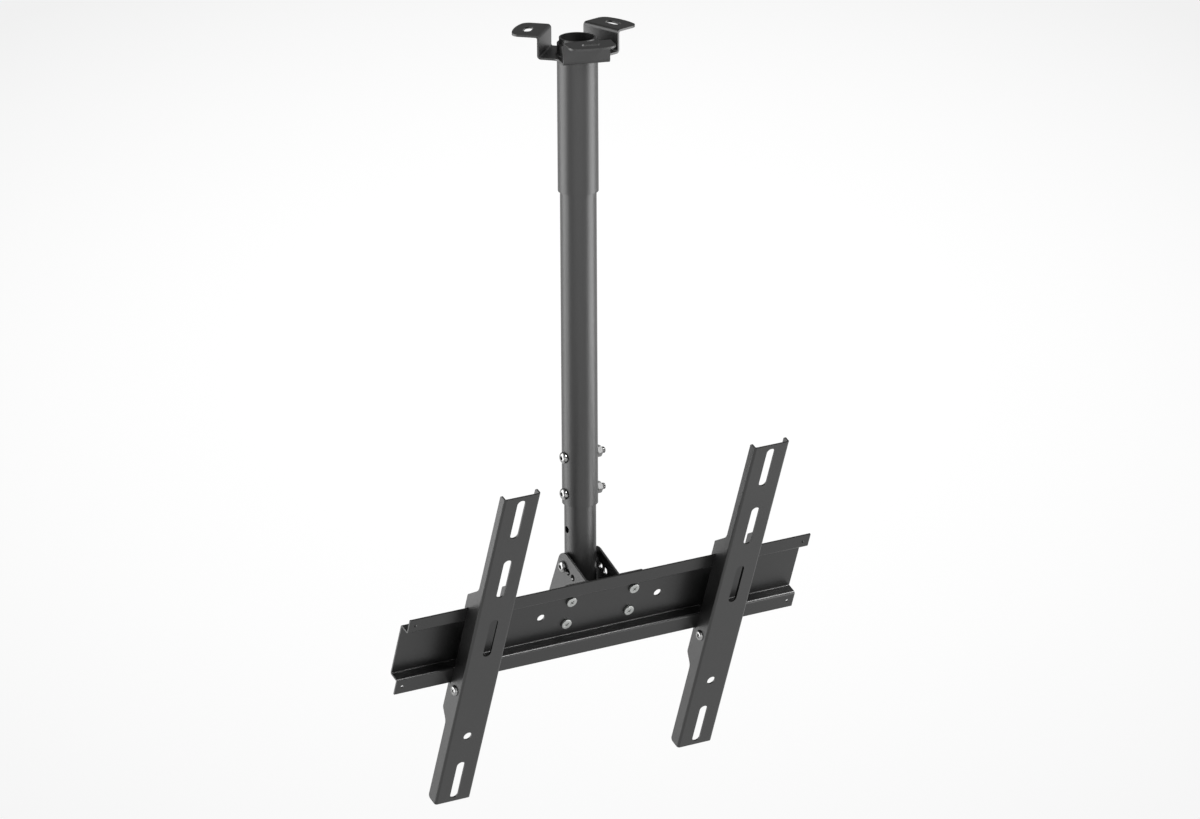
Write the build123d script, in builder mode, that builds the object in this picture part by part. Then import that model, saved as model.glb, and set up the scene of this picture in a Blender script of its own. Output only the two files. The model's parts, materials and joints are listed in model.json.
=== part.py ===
"""Telescopic ceiling mount for a flat screen: folded plate, three tubes, tilting crossbar and two arms.

The origin is on the pole's axis in the ceiling plane, +Z up, X along the crossbar, -Y towards the screen.
"""
import os
from math import cos, radians, sin, tan

from build123d import *

# Ceiling plate, one folded sheet with three legs
plate_sheet = 2.5
plate_height = 28.2
plate_bend = 2.0
plate_reach = 76.0
leg_count = 3
leg_turn = 14.0
leg_width = 56.0
leg_web_radius = 41.0
tab_corner = 11.0
hub_corner = 12.0
ceiling_slot_radius = 59.0
ceiling_slot_length = 22.0
ceiling_slot_width = 10.0

# Tubes, from the ceiling down
tube_wall = 2.0
sleeve_diameter = 48.0
sleeve_length = 169.0
main_diameter = 43.0
main_length = 571.4
main_top = 5.8
collar_top = 12.6
collar_height = 8.4
ring_thickness = 1.0
drop_diameter = 38.0
weld_gap = 0.1
running_gap = 0.3

# Row of cross holes in the drop tube and the through bolts
hole_pitch = 45.5
tube_end_margin = 13.9
step_count_up = 1
step_count_down = 5
bolt_diameter = 8.0
bolt_hole = 8.6
bolt_head_diameter = 14.0
bolt_head_height = 4.4
bolt_head_round = 3.5
bolt_socket = 5.0
bolt_socket_depth = 2.6
bolt_tip_chamfer = 0.8
bolt_end = 6.0
head_bolt_end = 2.0
nut_across_flats = 13.0
nut_height = 6.5
head_nut_height = 5.0
nut_chamfer_width = 0.9
nut_chamfer_depth = 0.6
washer_diameter = 16.0
washer_thickness = 1.6
thread_gap = 0.05
spacer_diameter = 18.0

# Tilting head: two folded brackets, each an ear and a wing
rest_tilt = 21.4
least_tilt = 0.0
most_tilt = 25.0
pivot_setback = 54.9
pivot_rise = 22.2
ear_gap = 42.8
ear_depth = 67.2
ear_top = 37.2
ear_lean = 3.4
ear_corner = 15.0
bracket_sheet = 2.5
bracket_bend = 2.0
bracket_height = 81.0
wing_reach = 55.0
wing_corner = 4.0
spare_hole_pitch = 11.3
spare_hole_count = 2
bracket_screw_spacing = 87.2
bracket_screw_height = 34.0

# Crossbar, one folded sheet
bar_sheet = 2.0
bar_bend = 1.0
bar_length = 557.0
web_height = 71.3
shelf_depth = 14.3
flange_top = 55.4
lip_bottom = 57.3
bar_hole = 10.0
bar_hole_spacing = 162.8
end_hole = 4.0
end_hole_inset = 9.0

# Small screws and their nuts
screw_diameter = 6.0
screw_hole = 6.6
screw_head_diameter = 13.0
screw_head_height = 3.2
screw_head_round = 2.4
screw_tip_chamfer = 0.6
screw_end = 3.0
recess_span = 7.0
recess_width = 1.6
recess_depth = 1.8
recess_taper = 10.0
small_nut_across_flats = 10.0
small_nut_height = 5.0

# Arms, two folded channels
arm_sheet = 2.0
arm_bend = 1.0
arm_width = 48.6
arm_length = 467.0
arm_rise = 2.4
arm_face = 38.0
arm_left_inset = 101.5
arm_right_inset = 113.3
arm_slot_length = 56.0
arm_slot_width = 11.0
arm_slot_inset = 33.5
arm_slot_step = 89.0
arm_low_slot_step = 179.0
arm_hole = 11.0
arm_hole_inset = 102.5
upper_flange = 10.8
lower_flange = 17.0
flange_corner = 3.0
shoulder_slope = 20.5
shoulder_radius = 12.0
hook_height = 17.0
hook_leg = 3.8
hook_drop = 4.7
hook_play = 0.5
hook_relief = 4.0
lobe_play = 2.2
lobe_depth = 28.5
lobe_height = 39.5
lobe_slope = 13.0
lobe_radius = 6.0
foot_corner = 4.5
arm_screw_setback = 12.5
arm_screw_height = -61.0

# Places worked out from the sizes above
sleeve_radius = sleeve_diameter / 2
main_radius = main_diameter / 2
drop_radius = drop_diameter / 2
sleeve_top = -collar_top - collar_height - ring_thickness
lower_bolt_height = tube_end_margin - main_top - main_length
upper_bolt_height = lower_bolt_height + hole_pitch
pivot_height = lower_bolt_height - (step_count_up + 1) * hole_pitch
lock_height = pivot_height - hole_pitch
drop_hole_count = step_count_up + step_count_down + 4
drop_top = lock_height + (drop_hole_count - 1) * hole_pitch + tube_end_margin
drop_length = drop_top - lock_height + tube_end_margin
ear_inner = ear_gap / 2
ear_outer = ear_inner + bracket_sheet
tilt = radians(rest_tilt)
forward = Vector(0, -cos(tilt), -sin(tilt))
upward = Vector(0, -sin(tilt), cos(tilt))
head_centre = Vector(0, 0, pivot_height) + forward * pivot_setback - upward * pivot_rise
head = Plane(origin=head_centre, x_dir=(1, 0, 0), z_dir=forward)
arm_left_place = arm_left_inset - bar_length / 2
arm_right_place = bar_length / 2 - arm_right_inset
end_slot = arm_length / 2 - arm_slot_inset
arm_slot_places = (end_slot, end_slot - arm_slot_step, end_slot - arm_low_slot_step, -end_slot)
arm_hole_place = arm_hole_inset - arm_length / 2


def side_plane(x):
    """Plane across the crossbar at x, its first axis forward and its second up the head."""
    return Plane(origin=head_centre + Vector(x, 0, 0), x_dir=forward, z_dir=(-1, 0, 0))


def bench_plane(x, rise):
    """Plane square to the head's height, its first axis along X and its second forward."""
    return Plane(origin=head_centre + Vector(x, 0, 0) + upward * rise, x_dir=(1, 0, 0), z_dir=-upward)


def seat_plane(x, height, side):
    """Plane square to the pole's cross holes, facing away from the pole on this side."""
    return Plane(origin=(x, 0, height), x_dir=(0, side, 0), z_dir=(side, 0, 0))


def finish(piece, name):
    """Give a finished piece its name and write it."""
    piece.part.label = name
    export_step(piece.part, f"parts/{name}.step")


def tube(radius, top, length):
    """Open tube on the pole's axis, hanging down from its top."""
    with BuildPart() as piece:
        with BuildSketch(Plane.XY.offset(top)):
            Circle(radius)
            Circle(radius - tube_wall, mode=Mode.SUBTRACT)
        extrude(amount=-length)
    return piece


def ring(inner, outer, seat, height):
    """Flat ring standing on its seat plane."""
    with BuildPart() as piece:
        with BuildSketch(seat):
            Circle(outer)
            Circle(inner, mode=Mode.SUBTRACT)
        extrude(amount=height)
    return piece


def bolt(seat, shank_length):
    """Domed bolt with a hexagon socket, its head standing on the seat plane."""
    outward = Axis(seat.origin, seat.z_dir)
    with BuildPart() as piece:
        with BuildSketch(seat):
            Circle(bolt_head_diameter / 2)
        extrude(amount=bolt_head_height)
        fillet(piece.faces().sort_by(outward)[-1].edges(), radius=bolt_head_round)
        with BuildSketch(seat.offset(bolt_head_height)):
            RegularPolygon(bolt_socket / 2, 6, major_radius=False)
        extrude(amount=-bolt_socket_depth, mode=Mode.SUBTRACT)
        with BuildSketch(seat):
            Circle(bolt_diameter / 2)
        extrude(amount=-shank_length)
        chamfer(piece.faces().sort_by(outward)[0].edges(), length=bolt_tip_chamfer)
    return piece


def cross_screw(seat, shank_length):
    """Low round-headed screw with a cross recess, its head standing on the seat plane."""
    outward = Axis(seat.origin, seat.z_dir)
    with BuildPart() as piece:
        with BuildSketch(seat):
            Circle(screw_head_diameter / 2)
        extrude(amount=screw_head_height)
        fillet(piece.faces().sort_by(outward)[-1].edges(), radius=screw_head_round)
        with BuildSketch(seat.offset(screw_head_height)):
            Rectangle(recess_span, recess_width, rotation=45)
            Rectangle(recess_width, recess_span, rotation=45)
        extrude(amount=-recess_depth, taper=recess_taper, mode=Mode.SUBTRACT)
        with BuildSketch(seat):
            Circle(screw_diameter / 2)
        extrude(amount=-shank_length)
        chamfer(piece.faces().sort_by(outward)[0].edges(), length=screw_tip_chamfer)
    return piece


def nut(seat, across_flats, bore, height):
    """Hexagon nut with chamfered corners, standing on the seat plane."""
    corner_radius = across_flats / 2 / cos(radians(30))
    with BuildPart() as piece:
        with BuildSketch(seat):
            Circle(corner_radius)
        extrude(amount=height)
        rims = piece.edges().filter_by(GeomType.CIRCLE)
        chamfer(rims, length=nut_chamfer_width, length2=nut_chamfer_depth)
        with BuildSketch(seat):
            RegularPolygon(across_flats / 2, 6, major_radius=False)
            Circle(bore, mode=Mode.SUBTRACT)
        extrude(amount=height, mode=Mode.INTERSECT)
    return piece


def spacer(height, side):
    """Saddle between the drop tube's round side and the flat ear."""
    with BuildPart() as piece:
        with BuildSketch(seat_plane(side * (ear_inner - running_gap), height, -side)):
            Circle(spacer_diameter / 2)
            Circle(bolt_hole / 2, mode=Mode.SUBTRACT)
        extrude(amount=ear_inner - running_gap)
        with BuildSketch(Plane.XY.offset(height - spacer_diameter)):
            Circle(drop_radius + weld_gap)
        extrude(amount=2 * spacer_diameter, mode=Mode.SUBTRACT)
    return piece


def tilt_bracket(side):
    """Folded bracket: a wing behind the crossbar's web and an ear beside the drop tube."""
    wing_middle = -bar_sheet - bracket_sheet / 2
    wing_back = -bar_sheet - bracket_sheet
    ear_slope = tan(radians(ear_lean))
    ear_middle = side * (ear_inner + bracket_sheet / 2)
    lock_radius = pivot_height - lock_height
    lock_arc = CenterArc((-pivot_setback, pivot_rise), lock_radius, least_tilt - 90, most_tilt - least_tilt)
    ear_holes = [(spare_hole_pitch * i - pivot_setback, pivot_rise) for i in range(spare_hole_count + 1)]
    with BuildPart() as piece:
        with BuildSketch(bench_plane(0, 0)):
            with BuildLine():
                FilletPolyline(
                    (side * wing_reach, wing_middle),
                    (ear_middle, wing_middle),
                    (ear_middle, -ear_depth - bracket_height * ear_slope),
                    radius=bracket_bend + bracket_sheet / 2,
                )
            trace(line_width=bracket_sheet)
        extrude(amount=bracket_height / 2, both=True)
        with BuildSketch(side_plane(0)):
            with BuildLine():
                FilletPolyline(
                    (0, -bracket_height / 2),
                    (0, bracket_height / 2),
                    (wing_back, bracket_height / 2),
                    (wing_back, ear_top),
                    (-ear_depth, ear_top + (ear_depth + wing_back) * ear_slope),
                    (-ear_depth - bracket_height * ear_slope, -bracket_height / 2),
                    radius=(0, 0, 0, 0, ear_corner, ear_corner),
                    close=True,
                )
            make_face()
        extrude(amount=wing_reach, both=True, mode=Mode.INTERSECT)
        wing_end = piece.faces().sort_by(Axis(head_centre, Vector(side, 0, 0)))[-1]
        fillet(wing_end.edges().filter_by(Axis(head_centre, forward)), radius=wing_corner)
        with BuildSketch(side_plane(0)):
            with Locations(ear_holes):
                Circle(bolt_hole / 2)
            SlotArc(lock_arc, bolt_hole)
        extrude(amount=ear_outer + bracket_sheet, both=True, mode=Mode.SUBTRACT)
        with BuildSketch(head.offset(-bar_sheet)):
            with Locations((side * bracket_screw_spacing / 2, 0)):
                with GridLocations(0, bracket_screw_height, 1, 2):
                    Circle(screw_hole / 2)
        extrude(amount=-2 * bracket_sheet, mode=Mode.SUBTRACT)
    return piece


def arm(place):
    """Folded channel with hooks over the crossbar's flange and lobes under its lip."""
    top = arm_rise + arm_length / 2
    bottom = arm_rise - arm_length / 2
    upper_rear = arm_face - upper_flange
    lower_rear = arm_face - lower_flange
    bearing = shelf_depth + running_gap
    leg_front = shelf_depth - bar_sheet - hook_play
    hook_rear = leg_front - hook_leg
    roof = flange_top + running_gap
    lobe_rear = arm_face - lobe_depth
    lobe_top = -lip_bottom - lobe_play
    lobe_foot = lobe_top - lobe_height
    front = arm_face + arm_sheet
    side_middle = arm_width / 2 - arm_sheet / 2
    face_middle = arm_face - arm_sheet / 2
    deepest = min(hook_rear, lobe_rear) - arm_sheet
    with BuildPart() as piece:
        with BuildSketch(bench_plane(place, arm_rise)):
            with BuildLine():
                FilletPolyline(
                    (-side_middle, deepest),
                    (-side_middle, face_middle),
                    (side_middle, face_middle),
                    (side_middle, deepest),
                    radius=arm_bend + arm_sheet / 2,
                )
            trace(line_width=arm_sheet)
        extrude(amount=arm_length / 2, both=True)
        with BuildSketch(side_plane(place)):
            with BuildLine():
                FilletPolyline(
                    (front, top),
                    (upper_rear, top),
                    (upper_rear, roof + hook_height + shoulder_slope),
                    (hook_rear, roof + hook_height),
                    (hook_rear, roof - hook_drop),
                    (leg_front, roof - hook_drop),
                    (leg_front, roof),
                    (bearing, roof),
                    (bearing, lobe_top),
                    (lobe_rear, lobe_top),
                    (lobe_rear, lobe_foot),
                    (lower_rear, lobe_foot - lobe_slope),
                    (lower_rear, bottom),
                    (front, bottom),
                    radius=(
                        0,
                        flange_corner,
                        shoulder_radius,
                        flange_corner,
                        hook_leg / 3,
                        hook_leg / 3,
                        0,
                        0,
                        0,
                        flange_corner,
                        lobe_radius,
                        shoulder_radius,
                        foot_corner,
                        0,
                    ),
                    close=True,
                )
            make_face()
            with Locations((bearing, roof)):
                Circle(hook_relief / 2, mode=Mode.SUBTRACT)
            with Locations((arm_face - arm_screw_setback, arm_screw_height)):
                Circle(screw_hole / 2, mode=Mode.SUBTRACT)
        extrude(amount=arm_width, both=True, mode=Mode.INTERSECT)
        with BuildSketch(head.offset(arm_face)):
            with Locations([(place, arm_rise + spot) for spot in arm_slot_places]):
                SlotOverall(arm_slot_length, arm_slot_width, rotation=90)
            with Locations((place, arm_rise + arm_hole_place)):
                Circle(arm_hole / 2)
        extrude(amount=-2 * arm_sheet, mode=Mode.SUBTRACT)
    return piece


os.makedirs("parts", exist_ok=True)

# Ceiling plate: three folded legs joined by a flat hub, trimmed to the stamped outline
leg_web_middle = leg_web_radius - plate_sheet / 2
with BuildPart() as leg:
    with BuildSketch(Plane.XZ):
        with BuildLine():
            FilletPolyline(
                (0, plate_sheet / 2 - plate_height),
                (leg_web_middle, plate_sheet / 2 - plate_height),
                (leg_web_middle, -plate_sheet / 2),
                (plate_reach, -plate_sheet / 2),
                radius=plate_bend + plate_sheet / 2,
            )
        trace(line_width=plate_sheet)
    extrude(amount=leg_width / 2, both=True)

with BuildPart() as ceiling_plate:
    with PolarLocations(0, leg_count, start_angle=leg_turn):
        add(leg.part)
    with BuildSketch(Plane.XY.offset(-plate_height)):
        Circle(leg_web_radius - plate_sheet - plate_bend)
    extrude(amount=plate_sheet)
    with BuildSketch() as outline:
        with PolarLocations(0, leg_count, start_angle=leg_turn):
            Rectangle(plate_reach, leg_width, align=(Align.MIN, Align.CENTER))
        Circle(plate_reach, mode=Mode.INTERSECT)
        by_distance = outline.vertices().sort_by(lambda corner: Vector(corner).length)
        fillet(by_distance[:leg_count], radius=hub_corner)
        by_distance = outline.vertices().sort_by(lambda corner: Vector(corner).length)
        fillet(by_distance[-2 * leg_count:], radius=tab_corner)
        with PolarLocations(ceiling_slot_radius, leg_count, start_angle=leg_turn):
            SlotOverall(ceiling_slot_length, ceiling_slot_width, rotation=90, mode=Mode.SUBTRACT)
        Circle(sleeve_radius + weld_gap, mode=Mode.SUBTRACT)
    extrude(amount=-plate_height, mode=Mode.INTERSECT)
finish(ceiling_plate, "ceiling_plate")

# Sleeve, bearing ring, main tube and the collar that hangs it in the sleeve
finish(tube(sleeve_radius, sleeve_top, sleeve_length), "ceiling_sleeve")
ring_seat = Plane.XY.offset(sleeve_top)
finish(ring(main_radius + running_gap, sleeve_radius, ring_seat, ring_thickness), "swivel_ring")
collar_seat = ring_seat.offset(ring_thickness)
finish(ring(main_radius + weld_gap, sleeve_radius, collar_seat, collar_height), "swivel_collar")

with BuildPart() as main_tube:
    add(tube(main_radius, -main_top, main_length).part)
    with BuildSketch(Plane.YZ):
        with Locations((0, upper_bolt_height), (0, lower_bolt_height)):
            Circle(bolt_hole / 2)
    extrude(amount=main_radius, both=True, mode=Mode.SUBTRACT)
finish(main_tube, "main_tube")

# Drop tube with its row of cross holes, from the lock bolt's up
with BuildPart() as drop_tube:
    add(tube(drop_radius, drop_top, drop_length).part)
    with BuildSketch(Plane.YZ):
        with Locations([(0, lock_height + hole_pitch * i) for i in range(drop_hole_count)]):
            Circle(bolt_hole / 2)
    extrude(amount=drop_radius, both=True, mode=Mode.SUBTRACT)
finish(drop_tube, "drop_tube")

# Through bolts that hold the height, heads on the left and nuts on the right
for place, height in (("upper", upper_bolt_height), ("lower", lower_bolt_height)):
    shank = 2 * main_radius + nut_height + bolt_end
    finish(bolt(seat_plane(-main_radius, height, -1), shank), f"height_bolt_{place}")
    nut_seat = seat_plane(main_radius, height, 1)
    finish(nut(nut_seat, nut_across_flats, bolt_diameter / 2 + thread_gap, nut_height), f"height_nut_{place}")

# Pivot bolt and lock bolt through the ears, with saddles, washers and nuts
ear_side = ear_outer + running_gap
for place, height in (("pivot", pivot_height), ("lock", lock_height)):
    shank = 2 * ear_side + washer_thickness + head_nut_height + head_bolt_end
    finish(bolt(seat_plane(-ear_side, height, -1), shank), f"{place}_bolt")
    washer_seat = seat_plane(ear_side, height, 1)
    finish(ring(bolt_hole / 2, washer_diameter / 2, washer_seat, washer_thickness), f"{place}_washer")
    nut_seat = washer_seat.offset(washer_thickness)
    finish(nut(nut_seat, nut_across_flats, bolt_diameter / 2 + thread_gap, head_nut_height), f"{place}_nut")
    finish(spacer(height, -1), f"{place}_spacer_left")
    finish(spacer(height, 1), f"{place}_spacer_right")

finish(tilt_bracket(-1), "tilt_bracket_left")
finish(tilt_bracket(1), "tilt_bracket_right")

# Crossbar: web, two shelves, a flange that stands up and a lip that hangs down
flange_middle = shelf_depth - bar_sheet / 2
shelf_middle = web_height / 2 + bar_sheet / 2
with BuildPart() as crossbar:
    with BuildSketch(side_plane(0)):
        with BuildLine():
            FilletPolyline(
                (flange_middle, flange_top),
                (flange_middle, shelf_middle),
                (-bar_sheet / 2, shelf_middle),
                (-bar_sheet / 2, -shelf_middle),
                (flange_middle, -shelf_middle),
                (flange_middle, -lip_bottom),
                radius=bar_bend + bar_sheet / 2,
            )
        trace(line_width=bar_sheet)
    extrude(amount=bar_length / 2, both=True)
    with BuildSketch(head):
        with GridLocations(bracket_screw_spacing, bracket_screw_height, 2, 2):
            Circle(screw_hole / 2)
        with GridLocations(bar_hole_spacing, 0, 2, 1):
            Circle(bar_hole / 2)
    extrude(amount=-2 * bar_sheet, mode=Mode.SUBTRACT)
    with BuildSketch(head.offset(shelf_depth)):
        for edge in (flange_top, -lip_bottom):
            shelf = shelf_middle if edge > 0 else -shelf_middle
            with Locations((0, (edge + shelf) / 2)):
                with GridLocations(bar_length - 2 * end_hole_inset, 0, 2, 1):
                    Circle(end_hole / 2)
    extrude(amount=-bar_sheet, mode=Mode.SUBTRACT)
finish(crossbar, "crossbar")

# Four screws through the web and the wings, with their nuts behind
screw_shank = bar_sheet + bracket_sheet + small_nut_height + screw_end
screw_bore = screw_diameter / 2 + thread_gap
for side, sideways in (("left", -1), ("right", 1)):
    for level, rise in (("upper", 1), ("lower", -1)):
        spot = (sideways * bracket_screw_spacing / 2, rise * bracket_screw_height / 2, 0)
        front_seat = Plane(origin=head.from_local_coords(spot), x_dir=(1, 0, 0), z_dir=forward)
        finish(cross_screw(front_seat, screw_shank), f"bracket_screw_{side}_{level}")
        back_seat = Plane(
            origin=front_seat.origin - forward * (bar_sheet + bracket_sheet),
            x_dir=(1, 0, 0),
            z_dir=-forward,
        )
        back_nut = nut(back_seat, small_nut_across_flats, screw_bore, small_nut_height)
        finish(back_nut, f"bracket_nut_{side}_{level}")

# Arms, each with a screw in its left flange and the nut inside the channel
for side, place in (("left", arm_left_place), ("right", arm_right_place)):
    finish(arm(place), f"arm_{side}")
    screw_spot = forward * (arm_face - arm_screw_setback) + upward * arm_screw_height
    outer_spot = head_centre + screw_spot + Vector(place - arm_width / 2, 0, 0)
    outer_seat = Plane(origin=outer_spot, x_dir=upward, z_dir=(-1, 0, 0))
    finish(cross_screw(outer_seat, arm_sheet + small_nut_height + screw_end), f"arm_screw_{side}")
    inner_seat = Plane(origin=outer_spot + Vector(arm_sheet, 0, 0), x_dir=upward, z_dir=(1, 0, 0))
    finish(nut(inner_seat, small_nut_across_flats, screw_bore, small_nut_height), f"arm_nut_{side}")
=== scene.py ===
import json
from math import atan2, cos, pi, radians, sin, tan

import bmesh
import bpy
from mathutils import Matrix, Vector


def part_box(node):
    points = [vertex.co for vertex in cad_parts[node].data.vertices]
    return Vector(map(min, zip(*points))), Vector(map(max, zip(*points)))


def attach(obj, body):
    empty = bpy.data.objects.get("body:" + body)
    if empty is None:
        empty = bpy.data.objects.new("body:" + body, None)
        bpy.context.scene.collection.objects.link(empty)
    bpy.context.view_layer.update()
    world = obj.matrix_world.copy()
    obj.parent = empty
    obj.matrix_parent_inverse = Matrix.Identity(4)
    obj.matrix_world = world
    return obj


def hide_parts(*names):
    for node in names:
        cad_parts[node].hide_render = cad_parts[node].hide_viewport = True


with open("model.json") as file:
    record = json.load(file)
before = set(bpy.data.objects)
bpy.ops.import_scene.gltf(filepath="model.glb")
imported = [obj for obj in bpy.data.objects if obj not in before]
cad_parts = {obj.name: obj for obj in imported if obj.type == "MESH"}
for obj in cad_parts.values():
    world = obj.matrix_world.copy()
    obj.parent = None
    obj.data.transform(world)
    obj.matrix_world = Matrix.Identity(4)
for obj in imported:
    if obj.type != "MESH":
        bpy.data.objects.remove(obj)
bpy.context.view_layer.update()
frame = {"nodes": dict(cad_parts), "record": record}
nodes = frame["nodes"]
scene = bpy.context.scene


# A socket on its way through a node tree, so that shader maths reads as plain sums
class Flow:
    def __init__(self, finish, socket):
        self.finish = finish
        self.socket = socket

    def math(self, operation, *values):
        return self.finish.node("ShaderNodeMath", {"operation": operation}, dict(enumerate(values)))

    def __add__(self, other):
        return self.math("ADD", self, other)

    def __radd__(self, other):
        return self.math("ADD", other, self)

    def __sub__(self, other):
        return self.math("SUBTRACT", self, other)

    def __mul__(self, other):
        return self.math("MULTIPLY", self, other)

    def __pow__(self, other):
        return self.math("POWER", self, other)


# Sockets of Blender's mix node that serve colours
mixFactor, mixDark, mixLight, mixResult = 0, 6, 7, 2


def grey(shade):
    return shade, shade, shade, 1


# A material or the world, with its node tree
class Finish:
    def __init__(self, owner):
        owner.use_nodes = True
        self.owner = owner
        self.tree = owner.node_tree
        self.shader = self.tree.nodes.get("Principled BSDF")

    def node(self, kind, settings=None, values=None, out=0):
        made = self.tree.nodes.new(kind)
        for name, value in (settings or {}).items():
            setattr(made, name, value)
        for name, value in (values or {}).items():
            self.feed(made.inputs[name], value)
        return Flow(self, made.outputs[out])

    def feed(self, socket, value):
        if isinstance(value, Flow):
            self.tree.links.new(value.socket, socket)
        else:
            socket.default_value = value

    def place(self):
        return self.node("ShaderNodeTexCoord", out="Object")

    def noise(self, scale, detail):
        values = {"Vector": self.place(), "Scale": scale, "Detail": detail}
        return self.node("ShaderNodeTexNoise", {}, values)

    def grains(self, scale):
        values = {"Vector": self.place(), "Scale": scale}
        return self.node("ShaderNodeTexVoronoi", {}, values, out="Distance")

    def tint(self, factor, dark, light):
        values = {mixFactor: factor, mixDark: (*dark, 1), mixLight: (*light, 1)}
        return self.node("ShaderNodeMix", {"data_type": "RGBA"}, values, out=mixResult)

    def bump(self, height, strength=1.0, distance=1.0):
        values = {"Height": height, "Strength": strength, "Distance": distance}
        return self.node("ShaderNodeBump", {}, values)

    def coat(self, **values):
        for name, value in values.items():
            self.feed(self.shader.inputs[name.replace("_", " ")], value)
        return self.owner


# Powder coat: satin anthracite, fine grain over a faint orange peel
powderValues = {
    "dark": (0.002, 0.002, 0.002),
    "light": (0.006, 0.006, 0.006),
    "grainScale": 1500,       # grains to a metre
    "peelScale": 320,
    "cloudScale": 14,
    "grainShare": 0.6,        # of the tint
    "cloudShare": 0.5,
    "specular": 0.84,
    "roughness": 0.39,
    "roughnessSpread": 0.08,
    "grainMean": 0.4,
    "grainRoughness": 0.08,
    "grainDepth": 0.00002,    # metres
    "peelDepth": 0.00005,
}
crossbarShadedValues = {**powderValues, "specular": 0.61, "roughness": 0.34}     # duller than the pole's: its weaker reflection is painted shade on the crossbar
armValues = {**powderValues, "specular": 0.73}


def makePowderCoat(name, v):
    finish = Finish(bpy.data.materials.new(name))
    grain = finish.grains(v["grainScale"])
    peel = finish.noise(v["peelScale"], detail=3.0)
    cloud = finish.noise(v["cloudScale"], detail=4.0)
    mottle = grain * v["grainShare"] + cloud * v["cloudShare"]
    uneven = (cloud - 0.5) * v["roughnessSpread"]
    return finish.coat(
        Base_Color=finish.tint(mottle, v["dark"], v["light"]),
        Roughness=v["roughness"] + uneven + (grain - v["grainMean"]) * v["grainRoughness"],
        Normal=finish.bump(peel * v["peelDepth"] + grain * v["grainDepth"]),
        Specular_IOR_Level=v["specular"],
    )


# Zinc plate: bright on bolts and arm screws, dull on the four screws of the tilting head, matt on nuts
zincValues = {
    "dark": (0.24, 0.24, 0.24),
    "light": (0.42, 0.42, 0.415),
    "streakScale": 900,
    "cloudScale": 160,
    "roughness": 0.10,
    "roughnessSpread": 0.12,
    "streakStrength": 0.4,
    "streakDepth": 0.00002,
}
dullZincValues = {
    **zincValues,
    "dark": (0.36, 0.37, 0.36),
    "light": (0.50, 0.51, 0.50),
    "streakScale": 700,
    "cloudScale": 220,
    "roughness": 0.34,
    "roughnessSpread": 0.14,
    "streakDepth": 0.00003,
}
nutValues = {**zincValues, "light": (0.38, 0.38, 0.38), "roughness": 0.68}


def makeZinc(name, v):
    finish = Finish(bpy.data.materials.new(name))
    streak = finish.noise(v["streakScale"], detail=2.0)
    cloud = finish.noise(v["cloudScale"], detail=3.0)
    return finish.coat(
        Base_Color=finish.tint(cloud, v["dark"], v["light"]),
        Roughness=v["roughness"] + cloud * v["roughnessSpread"],
        Normal=finish.bump(streak, v["streakStrength"], v["streakDepth"]),
        Metallic=1.0,
    )


# Nylon: bearing ring and saddles
nylonValues = {
    "dark": (0.012, 0.012, 0.012),
    "light": (0.022, 0.022, 0.023),
    "cloudScale": 60,
    "roughness": 0.5,
    "roughnessSpread": 0.12,
    "skinScale": 700,
    "skinStrength": 0.5,
    "skinDepth": 0.00002,
}


def makeNylon(v):
    finish = Finish(bpy.data.materials.new("black_nylon"))
    cloud = finish.noise(v["cloudScale"], detail=3.0)
    skin = finish.noise(v["skinScale"], detail=2.0)
    return finish.coat(
        Base_Color=finish.tint(cloud, v["dark"], v["light"]),
        Roughness=v["roughness"] + (cloud - 0.5) * v["roughnessSpread"],
        Normal=finish.bump(skin, v["skinStrength"], v["skinDepth"]),
    )


# One finish for each slot of the frame, and some pieces' own
finishes = {
    "powder_coat": makePowderCoat("satin_powder_coat", powderValues),
    "bright_zinc": makeZinc("bright_zinc", zincValues),
    "grey_zinc": makeZinc("grey_zinc", dullZincValues),
    "black_nylon": makeNylon(nylonValues),
}
nutZinc = makeZinc("nut_zinc", nutValues)
armCoat = makePowderCoat("arm_powder_coat", armValues)
ownCoats = {
    # The crossbar's copy of the coat reflects less, as painted shade
    "crossbar": makePowderCoat("crossbar_powder_coat", crossbarShadedValues),
    "arm_left": armCoat,
    "arm_right": armCoat,
}
print(f"finishes: {', '.join(finishes)}")


# Each node gets its finish, and small hardware gets softly rounded edges. Tubes and folded sheets keep the
# solids' own normals, because rounding draws dark lines along their long thin faces.
edgeValues = {"weld": 0.00001, "angle": 30, "round": 0.00015, "steps": 2}
smallPieces = ("bolt", "nut", "washer", "screw", "spacer", "ring")


def roundEdges(piece, v):
    weld = piece.modifiers.new("joinSeams", "WELD")
    weld.merge_threshold = v["weld"]
    rounding = piece.modifiers.new("roundEdges", "BEVEL")
    rounding.width = v["round"]
    rounding.segments = v["steps"]
    rounding.limit_method = "ANGLE"
    rounding.angle_limit = radians(v["angle"])
    rounding.harden_normals = True


def pieceFinish(name, slotName):
    return nutZinc if "nut" in name else ownCoats.get(name, finishes[slotName])


def dressNode(node, slotName, v):
    node.data.materials.clear()
    node.data.materials.append(pieceFinish(node.name, slotName))
    if any(word in node.name for word in smallPieces):
        roundEdges(node, v)


slots = {part["node"]: part["material_slot"] for part in frame["record"]["subparts"]}
bodies = frame["record"]["behaviour"]["bodies"]
bodyOf = {node: body for body, members in bodies.items() for node in members}
for nodeName, slotName in slots.items():
    dressNode(nodes[nodeName], slotName, edgeValues)
print("nodes dressed")


# Loops of points become a skin, and a finished form becomes a smooth piece that rides on its body
creaseAngle = radians(38)


def joinLoops(form, loops):
    for inner, outer in zip(loops, loops[1:]):
        for k in range(len(inner)):
            after = (k + 1) % len(inner)
            form.faces.new((inner[k], outer[k], outer[after], inner[after]))


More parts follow.
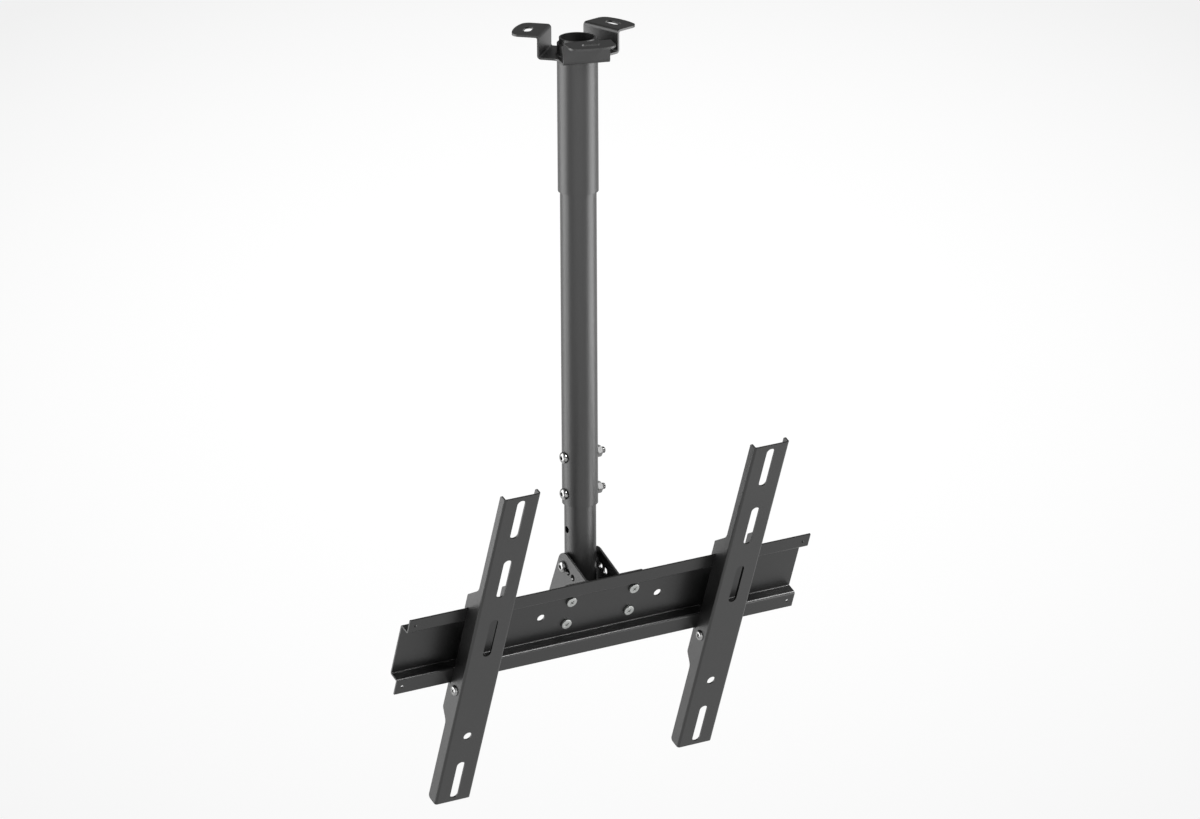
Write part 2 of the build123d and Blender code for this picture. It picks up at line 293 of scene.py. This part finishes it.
def addPiece(name, form, body, slotName):
    bmesh.ops.recalc_face_normals(form, faces=form.faces)
    for face in form.faces:
        face.smooth = True
    for edge in form.edges:
        edge.smooth = edge.calc_face_angle(0) < creaseAngle
    mesh = bpy.data.meshes.new(name)
    form.to_mesh(mesh)
    form.free()
    piece = bpy.data.objects.new(name, mesh)
    scene.collection.objects.link(piece)
    mesh.materials.append(finishes[slotName])
    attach(piece, body)
    return piece


# Bolts and screws: the plain CAD ones are replaced by turned ones with threads
turnValues = {
    "steps": 72,              # round the axis
    "headSteps": 8,           # over the head's rounding
    "threadSteps": 8,         # to a turn of the thread
    "edge": 0.0001,           # broken edges, metres
    "recessEdge": 0.00012,
    "recessTaper": 0.86,
    "threadSlope": 1.25,
    "leastSine": 0.05,        # keeps the cross recess from dividing by zero
    "tiltAtRest": 21.4,       # the bracket screws lean with the head, degrees
}
boltValues = {
    **turnValues,
    "headRadius": 0.007, "headHeight": 0.0044, "headRound": 0.0035,
    "recess": "socket", "recessSize": 0.0025, "recessDepth": 0.0026,
    "shankRadius": 0.004, "tipChamfer": 0.0008,
    "pitch": 0.00125, "threadDepth": 0.00055, "threadLength": 0.018,
}
crossValues = {
    **turnValues,
    "headRadius": 0.0066, "headHeight": 0.0028, "headRound": 0.0008,
    "recess": "cross", "recessSize": 0.0030, "recessWidth": 0.0007, "recessDepth": 0.0018,
    "shankRadius": 0.003, "tipChamfer": 0.0006,
    "pitch": 0.001, "threadDepth": 0.00045, "threadLength": 0.0095,
}
armScrewValues = {**crossValues, "headHeight": 0.0032, "headRound": 0.0030}


def recessRadius(angle, v):
    if v["recess"] == "socket":
        return v["recessSize"] / cos((angle + pi / 6) % (pi / 3) - pi / 6)     # a hexagon
    folded = abs(angle % (pi / 2) - pi / 4)     # from the nearest arm of the cross
    return min(v["recessSize"] / cos(folded), v["recessWidth"] / max(sin(folded), v["leastSine"]))


def threadRadius(angle, along, v):
    phase = (along / v["pitch"] + angle / (2 * pi)) % 1.0
    return v["shankRadius"] - v["threadDepth"] * min(abs(2 * phase - 1) * v["threadSlope"], 1.0)


# Rings from the recess over the head and down the shank to the tip, as heights with their radii
def turnedRings(length, v):
    angles = [2 * pi * k / v["steps"] for k in range(v["steps"])]
    recess = [recessRadius(angle, v) for angle in angles]
    flat = v["headRadius"] - v["headRound"]
    rings = [
        (v["headHeight"] - v["recessDepth"], [radius * v["recessTaper"] for radius in recess]),
        (v["headHeight"] - v["edge"], recess),
        (v["headHeight"], [min(radius + v["recessEdge"], flat) for radius in recess]),
    ]

    def addRound(along, radius):
        rings.append((along, [radius] * v["steps"]))

    for k in range(v["headSteps"] + 1):
        turn = pi / 2 * k / v["headSteps"]
        addRound(v["headHeight"] - v["headRound"] * (1 - cos(turn)), flat + v["headRound"] * sin(turn))
    addRound(v["edge"], v["headRadius"])
    addRound(0.0, v["headRadius"] - v["edge"])
    addRound(0.0, v["shankRadius"])
    start = v["threadLength"] - length
    addRound(start + v["pitch"], v["shankRadius"])
    steps = round(v["threadLength"] / v["pitch"] * v["threadSteps"])
    for k in range(steps + 1):
        along = start - v["threadLength"] * k / steps
        tip = v["shankRadius"] - max(0.0, v["tipChamfer"] - (length + along))
        rings.append((along, [min(threadRadius(angle, along, v), tip) for angle in angles]))
    return angles, rings


def makeTurned(name, v):
    points = [Vector(vertex.co) for vertex in nodes[name].data.vertices]
    tilt = radians(v["tiltAtRest"])
    outward, aside = Vector((-1, 0, 0)), Vector((0, 1, 0))
    if "bracket" in name:
        outward, aside = Vector((0, -cos(tilt), -sin(tilt))), Vector((1, 0, 0))
    over = outward.cross(aside)
    spans = [[point.dot(axis) for point in points] for axis in (aside, over, outward)]
    middle = [(min(span) + max(span)) / 2 for span in spans]
    top = max(spans[2])
    seat = aside * middle[0] + over * middle[1] + outward * (top - v["headHeight"])
    length = top - min(spans[2]) - v["headHeight"]
    angles, rings = turnedRings(length, v)
    form = bmesh.new()

    def spot(radius, angle, along):
        return form.verts.new(seat + (aside * cos(angle) + over * sin(angle)) * radius + outward * along)

    loops = []
    for along, radii in rings:
        loops.append([spot(radius, angle, along) for radius, angle in zip(radii, angles)])
    joinLoops(form, loops)
    form.faces.new(loops[0])
    form.faces.new(loops[-1][::-1])
    piece = addPiece(f"{name}_threaded", form, bodyOf[name], slots[name])
    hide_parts(name)


for nodeName in slots:
    if "bolt" in nodeName:
        makeTurned(nodeName, boltValues)
    elif "screw" in nodeName:
        makeTurned(nodeName, armScrewValues if "arm" in nodeName else crossValues)
print("bolts and screws threaded")


# Weld bead: the sleeve's seam on the plate's hub, under the same coat
beadValues = {
    "hubSheet": 0.0025,       # the hub's thickness
    "radius": 0.0014,
    "ripples": 46,
    "rippleDepth": 0.00022,
    "around": 230,            # steps
    "across": 12,
}


def layBead(name, centre, ringRadius, side, v):
    form = bmesh.new()
    loops = []
    for k in range(v["around"]):
        turn = 2 * pi * k / v["around"]
        swell = v["radius"] + v["rippleDepth"] * sin(turn * v["ripples"])
        loop = []
        for j in range(v["across"]):
            slant = 2 * pi * j / v["across"]
            reach = ringRadius + swell * cos(slant)
            spot = Vector((cos(turn) * reach, sin(turn) * reach, side * swell * sin(slant)))
            loop.append(form.verts.new(centre + spot))
        loops.append(loop)
    joinLoops(form, [*loops, loops[0]])
    addPiece(name, form, "ceiling", "powder_coat")


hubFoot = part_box("ceiling_plate")[0][2]
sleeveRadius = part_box("ceiling_sleeve")[1][0]
hubTop = Vector((0, 0, hubFoot + beadValues["hubSheet"]))
layBead("sleeve_weld_top", hubTop, sleeveRadius, 1, beadValues)
layBead("sleeve_weld_under", Vector((0, 0, hubFoot)), sleeveRadius, -1, beadValues)
print("weld beads laid")


# Camera: stands where the photograph was taken from
cameraValues = {
    "imageWidth": 1200,     # pixels of the photograph
    "imageHeight": 819,
    "turn": 31.63,          # degrees to the left of square on
    "drop": 18.62,          # degrees of looking down
    "roll": -0.28,
    "focalLength": 6184,    # pixels
    "scale": 863,           # pixels to a metre at the pole's top
    "originX": 577.3,       # pixel of the pole's top
    "originY": 32.0,
    "sensor": 36,           # millimetres
    "farthest": 100,        # metres
}


def placeCamera(v):
    turn, drop, roll = (radians(v[key]) for key in ("turn", "drop", "roll"))
    viewer = Vector((-sin(turn), -cos(turn), 0))
    across = Vector((cos(turn), -sin(turn), 0))
    upright = Vector((0, 0, 1))
    back = viewer * cos(drop) + upright * sin(drop)
    above = upright * cos(drop) - viewer * sin(drop)
    right = across * cos(roll) + above * sin(roll)
    top = above * cos(roll) - across * sin(roll)
    distance = v["focalLength"] / v["scale"]
    aside = (v["originX"] - v["imageWidth"] / 2) / v["scale"]
    lift = (v["imageHeight"] / 2 - v["originY"]) / v["scale"]
    data = bpy.data.cameras.new("photoCamera")
    data.sensor_width = v["sensor"]
    data.lens = v["focalLength"] / v["imageWidth"] * v["sensor"]
    data.clip_end = v["farthest"]
    camera = bpy.data.objects.new("photoCamera", data)
    scene.collection.objects.link(camera)
    turned = Matrix((right, top, back)).transposed().to_4x4()
    camera.matrix_world = Matrix.Translation(back * distance - right * aside - top * lift) @ turned
    scene.camera = camera
    return viewer, across, camera


viewer, across, camera = placeCamera(cameraValues)
print("camera placed")


# Studio: pale floor whose white glow carries painted shade towards its sides and far end, grey
# surroundings and tall soft lamps at the sides
studioValues = {
    "floorDrop": 1.9,        # metres under the ceiling plane
    "floorSize": 80,
    "floorShade": 0.80,
    "floorRoughness": 0.9,
    "whiteShare": 0.97,      # how far the floor is seen as plain white paper
    "glow": 1.045,
    "sidePaintedShade": 0.050,       # painted shade: how much darker the floor's glow is made at the sides, sideReach from its middle
    "sideReach": 1.15,
    "farPaintedShade": 0.080,        # and at the far end, farReach behind farShift
    "farReach": 2.6,
    "farShift": 0.5,
    "deepestPaintedShade": 0.14,
    "worldShade": 0.20,
}
lampMiddle = Vector((0, 0, -0.45))     # the lamps face this point of the pole
lampValues = {
    "leftBox": {"turn": -92, "range": 2.6, "height": 0.50, "width": 2.4, "length": 4.0, "power": 90},
    "rightBox": {"turn": 86, "range": 2.6, "height": -0.50, "width": 2.0, "length": 2.0, "power": 50},
    "edgeStrip": {"turn": 78, "range": 2.0, "height": 1.9, "width": 2.6, "length": 0.50, "power": 120},
    "frontLow": {"turn": 0, "range": 4.5, "height": -0.15, "width": 6.0, "length": 1.2, "power": 38},
    "frontHigh": {"turn": 0, "range": 3.2, "height": 1.8, "width": 3.4, "length": 3.0, "power": 18},
}


def makeFloor(v):
    drop = radians(cameraValues["drop"])
    height = camera.location.z + v["floorDrop"]
    aim = camera.location - viewer * (height / tan(drop))
    mesh = bpy.data.meshes.new("studioFloor")
    half = v["floorSize"] / 2
    corners = [(-half, -half, 0), (half, -half, 0), (half, half, 0), (-half, half, 0)]
    mesh.from_pydata(corners, [], [(0, 1, 2, 3)])
    floor = bpy.data.objects.new("studioFloor", mesh)
    floor.location = (aim.x, aim.y, -v["floorDrop"])
    floor.rotation_euler.z = atan2(across.y, across.x)
    scene.collection.objects.link(floor)
    finish = Finish(bpy.data.materials.new("pale_floor"))
    finish.coat(Base_Color=grey(v["floorShade"]), Roughness=v["floorRoughness"])
    aside, far = (finish.node("ShaderNodeSeparateXYZ", {}, {0: finish.place()}, out=axis) for axis in "XY")
    # Painted shade: the floor's white glow is darkened towards its sides and far end, up to a set deepest
    # amount
    sidePaintedShade = (aside * (1 / v["sideReach"])) ** 2 * v["sidePaintedShade"]
    farPaintedShade = ((far - v["farShift"]) * (1 / v["farReach"])) ** 2 * v["farPaintedShade"]
    paintedShade = sidePaintedShade + farPaintedShade
    paintedShade = paintedShade.math("MINIMUM", paintedShade, v["deepestPaintedShade"])
    shadedGlow = finish.tint(paintedShade, (1, 1, 1), (0, 0, 0))
    glow = finish.node("ShaderNodeEmission", {}, {"Color": shadedGlow, "Strength": v["glow"]})
    kinds = ("Camera", "Glossy", "Transmission")
    rays = [finish.node("ShaderNodeLightPath", out=f"Is {kind} Ray") for kind in kinds]
    seen = rays[0] + rays[1] + rays[2]
    surface = Flow(finish, finish.shader.outputs[0])
    shown = finish.node("ShaderNodeMixShader", {}, {0: seen * v["whiteShare"], 1: surface, 2: glow})
    finish.feed(finish.tree.nodes["Material Output"].inputs["Surface"], shown)
    mesh.materials.append(finish.owner)


def lightWorld(v):
    scene.world = bpy.data.worlds.new("studioWorld")
    finish = Finish(scene.world)
    background = finish.tree.nodes["Background"]
    finish.feed(background.inputs["Color"], grey(v["worldShade"]))


def hangLamp(name, v):
    data = bpy.data.lights.new(name, "AREA")
    data.shape = "RECTANGLE"
    data.size = v["width"]
    data.size_y = v["length"]
    data.energy = v["power"]
    lamp = bpy.data.objects.new(name, data)
    scene.collection.objects.link(lamp)
    turn = radians(v["turn"])
    aim = viewer * cos(turn) + across * sin(turn)
    lamp.location = lampMiddle + aim * v["range"] + Vector((0, 0, v["height"]))
    lamp.rotation_euler = (lamp.location - lampMiddle).to_track_quat("Z", "Y").to_euler()
    lamp.visible_camera = False


makeFloor(studioValues)
lightWorld(studioValues)
for lampName, lampSizes in lampValues.items():
    hangLamp(lampName, lampSizes)
scene.view_settings.view_transform = "Standard"
print("studio lit")
